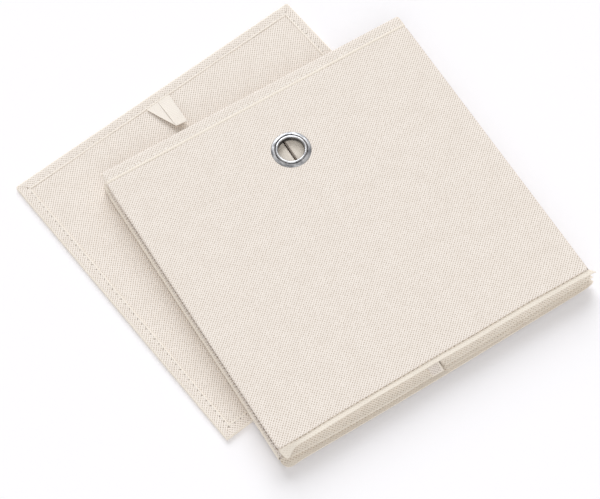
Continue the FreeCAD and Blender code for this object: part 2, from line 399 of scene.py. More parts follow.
@dataclass(frozen=True)
class WovenRibbon(Finish):
    """Narrow grosgrain ribbon of polyester, woven with a thick weft.

    The eye sees a smooth band with fine lengthwise warp lines and a slight satin gleam.
    """

    crest: str = "#F6EFE6"
    valley: str = "#D9CEC1"
    warp: float = 0.95
    weft: float = 0.6

    def lay(self, tree: bpy.types.NodeTree) -> None:
        """Builds the nodes: warp lines across the ribbon and weft ribs along it.

        Args:
            tree: The material\'s empty node tree.
        """
        weave = add_node(tree, "UVMap", uv_map=WEAVE)
        # Real warp ends are 0.25 mm apart; every fourth is drawn, at 0.95 mm, so that the lines show.
        warp = add_node(tree, "TexWave", {
            "Vector": weave, "Scale": WAVE_LENGTH / (self.warp * MM), "Distortion": 0.4, "Detail": 1.0,
            "Detail Scale": 2.0})
        weft = add_node(tree, "TexWave", {
            "Vector": weave, "Scale": WAVE_LENGTH / (self.weft * MM), "Distortion": 0.8, "Detail": 1.0},
            bands_direction="Y")
        woven = add_node(tree, "Math", {
            0: weft.outputs["Fac"], 1: 0.4, 2: warp.outputs["Fac"]}, operation="MULTIPLY_ADD")
        share = add_node(tree, "MapRange", {"Value": woven, "From Min": 0.15, "From Max": 0.8})
        colour = add_node(tree, "Mix", {0: share, 6: self.valley, 7: self.crest}, data_type="RGBA")
        self.close(tree, colour, (share, 0.7, 0.5), (woven, 0.5, 0.12), {
            "IOR": POLYESTER_IOR, "Sheen Weight": 0.15})


@dataclass(frozen=True)
class Greyboard(Finish):
    """Recycled greyboard, pressed in layers from waste paper.

    The eye sees dull brown-grey board with darker flecks and faint lengthwise fibre.
    """

    pulp: str = "#A2917B"
    fleck: str = "#7A6C5A"

    def lay(self, tree: bpy.types.NodeTree) -> None:
        """Builds the nodes: pulp, flecks and fibre.

        Args:
            tree: The material\'s empty node tree.
        """
        place = add_node(tree, "TexCoord").outputs["Object"]
        flecks = add_node(tree, "TexNoise", {
            "Vector": place, "Scale": 1 / (1.2 * MM), "Detail": 6.0, "Roughness": 0.7})
        share = add_node(tree, "MapRange", {"Value": flecks, "From Min": 0.5, "From Max": 0.68})
        colour = add_node(tree, "Mix", {0: share, 6: self.pulp, 7: self.fleck}, data_type="RGBA")
        self.close(tree, colour, (flecks, 0.82, 0.95), (flecks, 0.4, 0.1), {"IOR": 1.5})


@dataclass(frozen=True)
class NickelPlate(Finish):
    """Bright nickel plated on pressed steel, burnished by the setting tool.

    The eye sees a warm grey mirror with darker rings and short streaks round it: tool marks, and painted dark
    reflections that stand in for dark surroundings.
    """

    bright: str = "#BCBDC0"
    dull: str = "#86878B"
    roughness: float = 0.2

    def lay(self, tree: bpy.types.NodeTree) -> None:
        """Builds the nodes: streaks round the ring, tool marks and painted reflections, and fine scratches.

        Args:
            tree: The material\'s empty node tree.
        """
        weave = add_node(tree, "UVMap", uv_map=WEAVE)
        # The map runs round the ring in u and out along its profile in v, so the streaks, tool marks and
        # painted reflections, run round the ring.
        around = add_node(tree, "Mapping", {"Vector": weave, "Scale": (1 / (7 * MM), 1 / (2.2 * MM), 1)})
        streaks = add_node(tree, "TexNoise", {
            "Vector": around, "Scale": 1.0, "Detail": 3.0, "Roughness": 0.6}, noise_dimensions="2D")
        share = add_node(tree, "MapRange", {"Value": streaks, "From Min": 0.38, "From Max": 0.66})
        colour = add_node(tree, "Mix", {0: share, 6: self.bright, 7: self.dull}, data_type="RGBA")
        fine = add_node(tree, "Mapping", {"Vector": weave, "Scale": (1 / (5 * MM), 1 / (0.15 * MM), 1)})
        scratches = add_node(tree, "TexNoise", {"Vector": fine, "Scale": 1.0}, noise_dimensions="2D")
        self.close(tree, colour, (share, self.roughness, self.roughness + 0.18), (scratches, 0.25, 0.02), {
            "Metallic": 1.0})


@dataclass(frozen=True)
class WasherPlate(Finish):
    """Nickel-plated washer, stamped from strip.

    The eye sees a grey satin ring with fine random scuffs.
    """

    bright: str = "#B9B5AF"
    dull: str = "#97938D"

    def lay(self, tree: bpy.types.NodeTree) -> None:
        """Builds the nodes: scuffs.

        Args:
            tree: The material\'s empty node tree.
        """
        place = add_node(tree, "TexCoord").outputs["Object"]
        scuffs = add_node(tree, "TexNoise", {
            "Vector": place, "Scale": 1 / (1.5 * MM), "Detail": 4.0, "Roughness": 0.6})
        colour = add_node(tree, "Mix", {0: scuffs, 6: self.bright, 7: self.dull}, data_type="RGBA")
        self.close(tree, colour, (scuffs, 0.25, 0.45), (scuffs, 0.2, 0.03), {"Metallic": 1.0})


@dataclass(frozen=True)
class PolyesterThread(Finish):
    """Three-ply spun polyester sewing thread.

    The eye sees short plump stitches with a slanting ply, a little brighter than the cloth.
    """

    crest: str = "#FFFBF5"
    valley: str = "#F2EBE0"
    ply: float = 0.7

    def lay(self, tree: bpy.types.NodeTree) -> None:
        """Builds the nodes: the slanting ply.

        Args:
            tree: The material\'s empty node tree.
        """
        weave = add_node(tree, "UVMap", uv_map=WEAVE)
        # A 0.4 mm thread's plies cross it every 0.35 mm; they are drawn at 0.7 mm so that they show close up.
        ply = add_node(tree, "TexWave", {
            "Vector": weave, "Scale": WAVE_LENGTH / (self.ply * MM), "Distortion": 0.6},
            bands_direction="DIAGONAL").outputs["Fac"]
        colour = add_node(tree, "Mix", {0: ply, 6: self.valley, 7: self.crest}, data_type="RGBA")
        self.close(tree, colour, (ply, 0.75, 0.55), (ply, 0.5, 0.08), {
            "IOR": POLYESTER_IOR, "Sheen Weight": 0.1})


FABRIC = EmbossedSpunbond("embossed_spunbond_polypropylene")
# Creased cloth: its dots are flattened and fainter, and its lighter colours are also a painted highlight on
# folds and edges.
CREASE_AND_HIGHLIGHT = EmbossedSpunbond(
    "heat_creased_spunbond", raised="#FDF5E9", pressed="#E2D6C6", cloudy="#F9F0E3", dot_share=0.6,
    height=0.06)
# Two cut layers of the seam lips. The lighter colours are partly the doubled cloth and partly painted light
# that lifts the lips out of the shade they hang in.
LIGHTENED_DOUBLED_FABRIC = EmbossedSpunbond(
    "doubled_embossed_spunbond", raised="#FDF5EA", pressed="#D2C4B2", cloudy="#F8EFE3")
INSIDE_CLOTH = PlainSpunbond("plain_spunbond_polypropylene")
RIBBON_WEAVE = WovenRibbon("woven_polyester_ribbon")
BOARD = Greyboard("recycled_greyboard")
PLATE = NickelPlate("nickel_plated_steel")
# Nickel in the ring's groove and bore, darkened: painted shade.
SHADED_GROOVE_PLATE = NickelPlate("nickel_plate_in_the_groove", bright="#7C7B7C", dull="#3A3A3C", roughness=0.38)
# The ring's sloping flange, darker than the rest: painted dark reflection, which keeps the lamp's white
# reflection from filling it.
DARKENED_FLANGE_PLATE = NickelPlate(
    "nickel_plate_turned_by_the_tool", bright="#A6A7AA", dull="#68696D", roughness=0.34)
WASHER_PLATE = WasherPlate("nickel_plated_washer")
THREAD = PolyesterThread("spun_polyester_thread")
NEEDLE_HOLE = PolyesterThread("needle_hole_in_shadow", crest="#8C7C6D", valley="#6A5B4E")
LIT_NEEDLE_HOLE = PolyesterThread("needle_hole_in_light", crest="#D8CCBE", valley="#C4B6A6")


# Mesh making


class Shell:
    """Collects the surface of one piece in millimetres, and turns it into a mesh object."""

    def __init__(self) -> None:
        """Starts with no surface."""
        self._points: list[Array] = []
        self._faces: list[list[int]] = []
        self._places: list[Array] = []
        self._finishes: list[Array] = []
        self._count = 0

    def _add(self, points: Array, corners: Array, places: Array, finishes: int | Array) -> None:
        """Adds points and the faces between them.

        Args:
            points: The points, in an array of any shape by 3.
            corners: Faces by corners, as numbers of these points.
            places: Where each corner of each face lies on the flat cloth.
            finishes: Number of the finish, or one for each face.
        """
        self._faces += (corners + self._count).tolist()
        self._points.append(np.reshape(points, (-1, 3)))
        self._count += len(self._points[-1])
        self._places.append(np.reshape(places, (-1, 2)))
        self._finishes.append(np.broadcast_to(finishes, len(corners)))

    def grid(self, points: Array, places: Array, finish: int | Array = 0, keep: Array | None = None) -> None:
        """Adds a surface of quads.

        Args:
            points: Rows by columns by 3, in millimetres.
            places: Rows by columns by 2, where each point lies on the flat cloth, in millimetres.
            finish: Number of the finish, or one for each quad, row or column.
            keep: True for each quad that is there.
        """
        rows, columns = points.shape[:2]
        there = np.ones((rows - 1, columns - 1), bool) if keep is None else keep

        def corners(values: Array) -> Array:
            """The values at the four corners of each quad that is there."""
            return np.stack([values[:-1, :-1], values[:-1, 1:], values[1:, 1:], values[1:, :-1]], 2)[there]

        self._add(points, corners(np.arange(rows * columns).reshape(rows, columns)), corners(places),
                  np.broadcast_to(finish, there.shape)[there])

    def loose(self, points: Array, places: Array, finish: int) -> None:
        """Adds separate faces, as an array of faces by corners by 3."""
        self._add(points, np.arange(points.size // 3).reshape(points.shape[:2]), places, finish)

    def sheet(self, outer: Array, places: Array, thickness: float, core: Sequence[float] | Array,
              finish: int | Array = 0, keep: Array | None = None) -> None:
        """Adds a sheet of cloth with its thickness, closed all round.

        Args:
            outer: Rows by columns by 3, the face that shows.
            places: Where each point lies on the flat cloth.
            thickness: Thickness of the cloth, laid on the side towards core.
            core: A point, or one for each grid point, on the covered side.
            finish: Finish of the face that shows; the other face has finish 0.
            keep: True for each quad that is there.
        """
        normal = np.cross(np.gradient(outer, axis=0), np.gradient(outer, axis=1))
        normal /= np.maximum(np.linalg.norm(normal, axis=2, keepdims=True), 1e-9)
        if np.sum(normal * (outer - core)) < 0:
            normal = -normal
        inner = outer - normal * thickness
        there = np.ones((outer.shape[0] - 1, outer.shape[1] - 1), bool) if keep is None else keep
        self.grid(outer, places, finish, there)
        self.grid(inner, places, 0, there)
        padded = np.pad(there, 1)
        number = np.arange(outer[..., 0].size).reshape(outer.shape[:2])
        row_cut = padded[:-1, 1:-1] != padded[1:, 1:-1]
        column_cut = padded[1:-1, :-1] != padded[1:-1, 1:]
        starts = np.concatenate([number[:, :-1][row_cut], number[:-1, :][column_cut]])
        ends = np.concatenate([number[:, 1:][row_cut], number[1:, :][column_cut]])
        front, back, spots = outer.reshape(-1, 3), inner.reshape(-1, 3), places.reshape(-1, 2)
        self.loose(np.stack([front[starts], front[ends], back[ends], back[starts]], 1),
                   np.stack([spots[starts], spots[ends], spots[ends], spots[starts]], 1), int(np.max(finish)))

    def strip(self, side: Side, profile: Array, y: Array, core: tuple[float, float], thickness: float,
              finish: int | Array = 0, sway: Array | float = 0.0) -> None:
        """Adds a strip of cloth with one section all along Y, on one side of the box.

        Args:
            side: The side of the box.
            profile: Section of the face that shows, as distance from the box's middle, and height.
            y: Stations along the strip.
            core: A point of the section on the covered side.
            thickness: Thickness of the cloth.
            finish: Finish of the face that shows.
            sway: How far each point is moved out.
        """
        self.sheet(stacked(side.value * (profile[:, :1] + sway), y, profile[:, 1:]),
                   stacked(run(profile)[:, None], y), thickness,
                   stacked(side.value * core[0], y, core[1]), finish)

    def bar(self, sections: Array, places: Array, finish: int | Array = 0) -> None:
        """Adds a closed bar.

        Args:
            sections: Stations by points round the section by 3.
            places: The same by 2, with one column more, for the closing edge.
            finish: Finish of the bar.
        """
        self.grid(np.concatenate([sections, sections[:, :1]], axis=1), places, finish)
        self.loose(sections[[0, -1]], places[[0, -1], :-1], int(np.max(finish)))

    def bead(self, centre: Array, along: Array, up: Array, size: Point, finish: int) -> None:
        """Adds a small plump bead, such as one stitch or one needle hole.

        Args:
            centre: Middle of the bead.
            along: Unit vector along it.
            up: Unit vector away from the cloth.
            size: Length, width and height.
            finish: Finish of the bead.
        """
        length, width, height = size
        turn = np.arange(7) * math.tau / 6
        stations = np.array([-1.0, -0.86, -0.4, 0.4, 0.86, 1.0])[:, None] * length / 2
        swell = np.array([0.3, 0.8, 1.0, 1.0, 0.8, 0.3])[:, None, None]
        ring = (np.cos(turn)[:, None] * np.cross(up, along) * width / 2
                + np.sin(turn)[:, None] * up * height / 2)
        points = centre + stations[..., None] * along + swell * ring
        self.bar(points[:, :-1], stacked(turn * width / 2, stations), finish)

    def build(self, name: str, finishes: Sequence[Finish], body: str | None, slot: str, *nodes: str,
              crease: float = 48.0) -> bpy.types.Object:
        """Makes the piece, welded where its surfaces meet, and puts it on its body.

        Args:
            name: Name of the piece.
            finishes: The finishes, in the order of their numbers.
            body: Name of the body, or None for a piece on no body.
            slot: Not used.
            *nodes: CAD nodes that the piece replaces.
            crease: Edges sharper than this many degrees stay sharp.

        Returns:
            The new object, in the scene.
        """
        mesh = bpy.data.meshes.new(name)
        mesh.from_pydata((np.concatenate(self._points) * MM).tolist(), [], self._faces)
        layer = mesh.uv_layers.new(name=WEAVE)
        layer.data.foreach_set("uv", (np.concatenate(self._places) * MM).ravel())
        for finish in finishes:
            mesh.materials.append(finish.material())
        mesh.polygons.foreach_set("material_index", np.concatenate(self._finishes).astype(np.int32))
        work = bmesh.new()
        work.from_mesh(mesh)
        bmesh.ops.remove_doubles(work, verts=work.verts, dist=WELD_MM * MM)
        bmesh.ops.dissolve_degenerate(work, dist=WELD_MM * MM / 2, edges=work.edges)
        bmesh.ops.delete(work, geom=[v for v in work.verts if not v.link_faces], context="VERTS")
        bmesh.ops.recalc_face_normals(work, faces=work.faces)
        for face in work.faces:
            face.smooth = True
        work.to_mesh(mesh)
        work.free()
        mesh.set_sharp_from_angle(angle=math.radians(crease))
        piece = in_scene(name, mesh)
        if body is not None:
            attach(piece, body)
        if nodes:
            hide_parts(*nodes)
        log.info("%s: %d faces", piece.name, len(mesh.polygons))
        return piece


@dataclass
class Sewing:
    """A row of lockstitches: plump threads between dark needle holes."""

    pitch: float = 5.0
    thread: Point = (3.9, 0.42, 0.34)
    hole: Point = (0.95, 0.6, 0.2)

    def row(self, shell: Shell, start: Sequence[float], end: Sequence[float], up: Sequence[float]) -> None:
        """Sews one straight row.

        Args:
            shell: Gets the stitches, with thread as finish 0 and needle holes as finish 1.
            start: First point, on the cloth.
            end: Last point, on the cloth.
            up: Unit vector away from the cloth.
        """
        begin, away = np.array(start, float), np.array(up, float)
        length = float(np.linalg.norm(end - begin))
        along = (end - begin) / length
        count = max(1, round(length / self.pitch))
        step = length / count
        for number in range(count + 1):
            spot = begin + along * step * number
            shell.bead(spot + away * 0.02, along, away, self.hole, 1)
            if number < count:
                sway = 0.12 * math.sin(2.4 * number)
                middle = spot + along * step / 2 + away * 0.05 + np.cross(away, along) * sway
                shell.bead(middle, along, away, self.thread, 0)


def dress_node(node: str, finish: Finish) -> None:
    """Gives a CAD node that stays in sight its finish.

    Args:
        node: Name of the node.
        finish: Its finish.
    """
    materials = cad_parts[node].data.materials
    materials.clear()
    materials.append(finish.material())
    log.info("%s: dressed as %s", node, finish.name)


# The box


@dataclass
class DrawnPanel:
    """A rectangle of cloth drawn over a stiff board and on down its edges."""

    low: tuple[float, float]
    high: tuple[float, float]
    corner: float
    edge: float
    depth: float
    step: float = 7.0
    hole: Point | None = None
    hole_block: float = 24.0
    hole_cells: int = 12

    def __post_init__(self) -> None:
        """Works out the corners' centre lines and the bend over the edge."""
        self.first, self.last = np.array(self.low) + self.corner, np.array(self.high) - self.corner
        self.flat, self.arc = self.corner - self.edge, self.edge * math.pi / 2

    def lines(self, axis: int) -> Array:
        """Lines of the flat cloth across one axis, closer together at the edges and the hole.

        Args:
            axis: 0 for lines across X, 1 for lines across Y.

        Returns:
            The lines' places along the axis.
        """
        low, high = self.first[axis], self.last[axis]
        inside = spread(low, high, self.step)
        if self.hole is not None:
            near = self.hole[axis] + np.linspace(-self.hole_block, self.hole_block, 2 * self.hole_cells + 1)
            inside = np.concatenate([
                spread(low, near[0], self.step), near[1:-1], spread(near[-1], high, self.step)])
        down = max(self.depth - self.edge, 0.0)
        levels = np.array([
            self.flat * 0.5, self.flat, *(self.flat + self.arc * np.array([0.25, 0.5, 0.75, 1.0])),
            *(self.flat + self.arc + down * np.array([0.5, 1.0]))])
        return np.concatenate([low - levels[::-1], inside, high + levels])

    def flat_places(self) -> tuple[Array, Array]:
        """The grid on the flat cloth.

        Returns:
            Places, rows by columns by 2, and which quads are there.
        """
        places = np.stack(np.meshgrid(self.lines(0), self.lines(1)), -1)
        keep = np.ones((places.shape[0] - 1, places.shape[1] - 1), bool)
        if self.hole is not None:
            off = places - self.hole[:2]
            reach = np.abs(off).max(-1)
            inner, slack = self.hole_block / 3, 1e-6
            covered = reach < inner + slack
            keep = ~(covered[:-1, :-1] & covered[1:, 1:] & covered[:-1, 1:] & covered[1:, :-1])
            pull = (1 - smooth_step(reach, inner, self.hole_block)) * (reach > inner - slack)
            circle = (self.hole[2] * np.maximum(reach / inner, 1)
                      / np.maximum(np.linalg.norm(off, axis=-1), slack))
            places = places + (pull * (circle - 1))[..., None] * off
        return places, keep

    def drawn(self, places: Array) -> tuple[Array, Array]:
        """Where the flat cloth's points go.

        Args:
            places: Points of the flat cloth.

        Returns:
            The points seen from above, and how far below the face each of them is.
        """
        middle = (self.first + self.last) / 2
        past = np.maximum(places - self.last, self.first - places)
        far = past.max(-1)
        turn = np.clip((far - self.flat) / self.edge, 0, math.pi / 2)
        out = np.minimum(far, self.flat) + self.edge * np.sin(turn)
        drop = self.edge * (1 - np.cos(turn)) + np.maximum(far - self.flat - self.arc, 0)
        share = past.min(-1) / np.where(far > 0, far, 1)
        heading = np.where(past[..., 0] >= past[..., 1], share, 2 - share) * math.pi / 4
        in_corner = np.all(past > 0, axis=-1, keepdims=True)
        reach = out[..., None] * np.where(in_corner, stacked(np.cos(heading), np.sin(heading)), 1)
        bent = np.where(places > middle, self.last, self.first) + np.sign(places - middle) * reach
        return np.where(past > 0, bent, places), np.where(far > 0, drop, 0)


@dataclass
class Wall:
    """One stiff wall of the box: cover, cardboard, lining, hem band and its topstitching."""

    name: str
    body: str
    facing: Facing
    seed: int
    hole: Point | None = None
    below_seam: float = 0.0
    bow: Pairs = ((0.0, 0.0),)
    weave_stretch: tuple[float, float] = (1.0, 1.0)
    weave_lean: float = 0.0
    cover: float = 0.5
    lining: float = 0.5
    corner: float = 2.5
    edge: float = 0.9
    hem_width: float = 11.2
    hem_proud: float = 0.25
    stitch_from_hem: float = 7.7
    waviness: float = 0.16
    slit_easing: float = 0.42
    trims: list[bpy.types.Object] = field(default_factory=list)
    drawn_cover: bpy.types.Object | None = None

    def __post_init__(self) -> None:
        """Reads the wall's outline from its cover in the CAD model."""
        (self.x_low, self.seam_y, self.z_low), (self.x_high, self.band_y, self.z_high) = box_of(
            self.name + "_cover")
        self.hem_y = self.band_y + 0.25
        if self.name.startswith("left"):
            self.x_high -= self.slit_easing
        if self.name.startswith("right"):
            self.x_low += self.slit_easing
        self.face_z, self.inside_z = (self.z_high, self.z_low)[::self.facing.value]
        self.width, self.length = self.x_high - self.x_low, self.band_y - self.seam_y
        self.middle = np.array([self.x_low + self.width / 2, self.seam_y + self.length / 2,
                                (self.z_low + self.z_high) / 2])

    def build(self) -> None:
        """Builds and dresses every sheet of the wall."""
        self.build_cover()
        self.build_lining()
        self.build_hem_band()
        self.sew_hem()
        dress_node(self.name + "_cardboard", BOARD)

    def declare_cover(self) -> None:
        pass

    def build_cover(self) -> None:
        """Outside fabric, drawn over the board and down its edges."""
        panel = DrawnPanel(
            (self.x_low, self.seam_y - self.below_seam), (self.x_high, self.band_y), self.corner, self.edge,
            self.z_high - self.z_low - 0.1, hole=self.hole)
        places, keep = panel.flat_places()
        spots, drop = panel.drawn(places)
        x, y = spots[..., 0], spots[..., 1]
        y = y + np.interp(x, *np.array(self.bow).T) * (1 - smooth_step(y - self.seam_y, 0, 30))
        inset = np.minimum(np.minimum(x - self.x_low, self.x_high - x), y - self.seam_y)
        lift = (self.waviness * ripple(x, y, self.seed) * (0.3 + 0.7 * smooth_step(inset, 0, 18))
                * (drop < 0.01))
        if self.hole is not None:
            lift = lift * smooth_step(np.hypot(x - self.hole[0], y - self.hole[1]), 16, 34)
        shell = Shell()
        shell.sheet(stacked(x, y, self.face_z + self.facing.value * (lift - drop)),
                    turned(places * self.weave_stretch, self.weave_lean), self.cover, self.middle, keep=keep)
        self.drawn_cover = shell.build(
            self.name + "_drawn_cover", (FABRIC,), self.body, CREAM, self.name + "_cover")

    def build_lining(self) -> None:
        """Inside fabric, glued to the board within the cover's edge."""
        inset = self.cover
        panel = DrawnPanel(
            (self.x_low + inset, self.seam_y + inset), (self.x_high - inset, self.band_y - inset),
            self.corner - inset, 0.3, self.lining - 0.05, step=9.0, hole=self.hole)
        places, keep = panel.flat_places()
        spots, drop = panel.drawn(places)
        lift = 0.1 * ripple(spots[..., 0], spots[..., 1], self.seed + 50) * (drop < 0.01)
        outer = np.concatenate([spots, (self.inside_z - self.facing.value * (lift - drop))[..., None]], -1)
        shell = Shell()
        shell.sheet(outer, places, self.lining - 0.1, self.middle, keep=keep)
        piece = shell.build(
            self.name + "_inside_lining", (INSIDE_CLOTH,), self.body, LINING, self.name + "_lining")

    def hem_profile(self) -> Array:
        """The band's section, from its free edge outside, over the hem, to its free edge inside.

        Returns:
            Rows of distance from the hem, height through the wall from outside (1) to inside (-1), and rise.
        """
        width, stitch = self.hem_width, self.stitch_from_hem
        outside = np.array([
            (width, 1.0, 0.45), (width - 0.3, 1.0, 0.9), (width - 0.9, 1.0, 1.5), (width - 1.8, 1.0, 1.3),
            (stitch + 0.6, 1.0, 0.9), (stitch, 1.0, 0.8), (stitch - 0.8, 1.0, 1.1), (4.6, 1.0, 1.3),
            (2.4, 1.0, 1.2), (1.2, 0.97, 1.0), (0.45, 0.82, 1.0), (0.1, 0.5, 1.0)])
        whole = np.concatenate([outside, [(0.0, 0.0, 1.0)], outside[::-1] * (1, -1, 1)])
        return whole * (1, 1, self.hem_proud)

    def build_hem_band(self) -> None:
        """Band of fabric folded over the wall's top edge, with its ends tucked in."""
        half = (self.z_high - self.z_low) / 2
        middle_z = self.middle[2]
        ends = np.array([0.0, 0.12, 0.5, 1.1, 1.9, self.corner + 0.4])
        x = np.concatenate([self.x_low + ends, spread(self.x_low + 9, self.x_high - 9, 8.0),
                            (self.x_high - ends)[::-1]])
        from_end = np.minimum(x - self.x_low, self.x_high - x)
        shorter = rounded(from_end, self.corner)
        distance, side, rise = self.hem_profile().T[..., None]
        wave = 0.18 * (ripple(x, 0, self.seed + 7) - 0.5) * (distance > 8)
        y = self.hem_y - shorter - np.where(distance > 6, distance - shorter, distance) + wave
        height = (side * half + np.sign(side) * rise) * np.sqrt(np.clip(from_end / 0.8, 0, 1))
        around = run(np.hstack([distance, side * half]))
        # From 0.1 to 1.6 mm in from the band's free edges lies the creased finish: flattened cloth, and a
        # painted highlight along the fold.
        from_edge = self.hem_width - (distance[:-1] + distance[1:]) / 2
        shell = Shell()
        shell.sheet(stacked(x, y, middle_z + self.facing.value * height),
                    turned(stacked(x, around[:, None]), 3.0), min(self.hem_proud, 0.3),
                    stacked(x, np.minimum(y, self.hem_y - 2), middle_z),
                    ((from_edge < 1.6) & (from_edge > 0.1)).astype(int))
        piece = shell.build(self.name + "_folded_hem", (FABRIC, CREASE_AND_HIGHLIGHT), self.body, CREAM,
                            self.name + "_hem_band")

    def sew_hem(self) -> None:
        """Topstitching through the hem band, seen on both faces."""
        shell, sewing = Shell(), Sewing(thread=(4.3, 0.85, 0.6), hole=(1.0, 0.8, 0.2))
        y = self.hem_y - self.stitch_from_hem
        for z, up in ((self.z_high + 0.75 * self.hem_proud, 1.0), (self.z_low - 0.75 * self.hem_proud, -1.0)):
            sewing.row(shell, (self.x_low + 2.5, y, z), (self.x_high - 2.5, y, z), (0, 0, up))
        self.trims.append(shell.build(
            self.name + "_hem_stitching", (THREAD, LIT_NEEDLE_HOLE), self.body, CREAM))


@dataclass
class SeamLip:
    """Seam allowance at a wall's bottom edge: two cut layers sewn together, with a soft double edge."""

    wall: Wall
    root: list[Point]
    tip: list[Point]
    seed: int
    thickness: float = 1.4
    stations: int = 90
    arch: float = 0.0
    groove: float = 0.0
    highlight_from: int = 4
    highlight_to: int = 9

    def section(self, reach: Array) -> tuple[Array, Array]:
        """Outline of the lip, from its top face round its double edge to its underside.

        Args:
            reach: How far the lip reaches, one for each station.

        Returns:
            Distance out from the seam and height above its top face, stations by points.
        """
        # Share of the reach, distance back from there, and depth as a share of the thickness.
        share, back, depth = np.array([
            (0.0, 0.0, self.groove), (0.07, 0.0, 0.0), (0.35, 0.0, -0.05), (0.62, 0.0, -0.04),
            (0.85, 0.0, 0.0), (1.0, 0.35, -0.03 / self.thickness), (1.0, 0.1, 0.1), (1.0, 0.0, 0.24),
            (1.0, 0.08, 0.42), (1.0, 0.4, 0.5), (1.0, 0.16, 0.58), (1.0, 0.1, 0.76), (1.0, 0.22, 0.92),
            (1.0, 0.5, 1.0), (0.6, 0.0, 1.0), (0.3, 0.0, 1.0), (0.0, 0.0, 1.0)]).T
        distance = reach[:, None] * share - back
        part = distance / reach[:, None]
        return distance, self.arch * 4 * part * (1 - part) - depth * self.thickness

    def build(self) -> None:
        """Builds the lip and adds it to its wall's trims."""
        root, tip = through(self.root, self.stations), through(self.tip, self.stations)
        x = root[:, 0]
        tip[:, 2] += 0.3 * (ripple(x, 0, self.seed) - 0.5)
        tip[:, 1] += 0.3 * (ripple(x, 400, self.seed) - 0.5)
        out = tip - root
        reach = np.linalg.norm(out, axis=1)
        out /= reach[:, None]
        up = np.cross(np.gradient((root + tip) / 2, axis=0), out)
        up *= (np.where(up[:, 2] < 0, -1, 1) / np.linalg.norm(up, axis=1))[:, None]
        distance, height = self.section(reach)
        sections = root[:, None] + distance[..., None] * out[:, None] + height[..., None] * up[:, None]
        around = run(np.concatenate([sections, sections[:, :1]], axis=1))
        # The rows round the double edge, and on the front rim nearly the whole top, take the creased finish:
        # flattened cloth, with a painted highlight.
        finish = np.zeros(sections.shape[1], int)
        finish[self.highlight_from:self.highlight_to] = 1
        shell = Shell()
        shell.bar(sections, stacked(x[:, None], around), finish)
        self.wall.trims.append(shell.build(
            self.wall.name + "_seam_lip", (LIGHTENED_DOUBLED_FABRIC, CREASE_AND_HIGHLIGHT), self.wall.body, CREAM,
            self.wall.name + "_seam_allowance"))


# Sections round a corner of the box: distance past its outside, and distance on towards the half side wall,
# first from the wall's outside face and then from the half's.
CORNER_WRAPS = {
    Facing.UP: (
        ((-0.55, 0.12), (-0.25, 0.35), (-0.05, 0.95), (-0.1, 2.2), (-0.7, 3.0), (-2.2, 3.5), (-3.2, 4.4),
         (-3.0, 5.6), (-1.8, 6.3)),
        ((-0.4, -1.0), (0.5, -0.5), (0.6, 0.05), (0.1, 0.4), (-0.8, 0.5))),
    Facing.DOWN: (
        ((-0.55, 0.12), (0.2, 0.35), (1.0, 1.0), (1.5, 2.1), (1.7, 3.4), (1.6, 4.6), (1.1, 5.6), (0.4, 6.3)),
        ((-0.3, -0.8), (-0.7, -0.2), (-1.0, 0.2)))}
UNDER_HALF = ((-2.0, 0.42), (-3.4, 0.46), (-4.6, 0.46), (-6.5, 0.44))
HEM_CORNERS = {
    Facing.UP: (
        ((-0.75, 0.0), (-0.3, 0.2), (-0.04, 0.7), (-0.5, 2.5), (-1.1, 4.4)), ((-1.9, -1.2), (-2.4, -0.3))),
    Facing.DOWN: (
        ((-0.75, 0.0), (0.0, 0.2), (0.86, 0.7), (1.3, 2.5), (1.2, 4.4)), ((0.2, -1.2), (-0.7, -0.3)))}


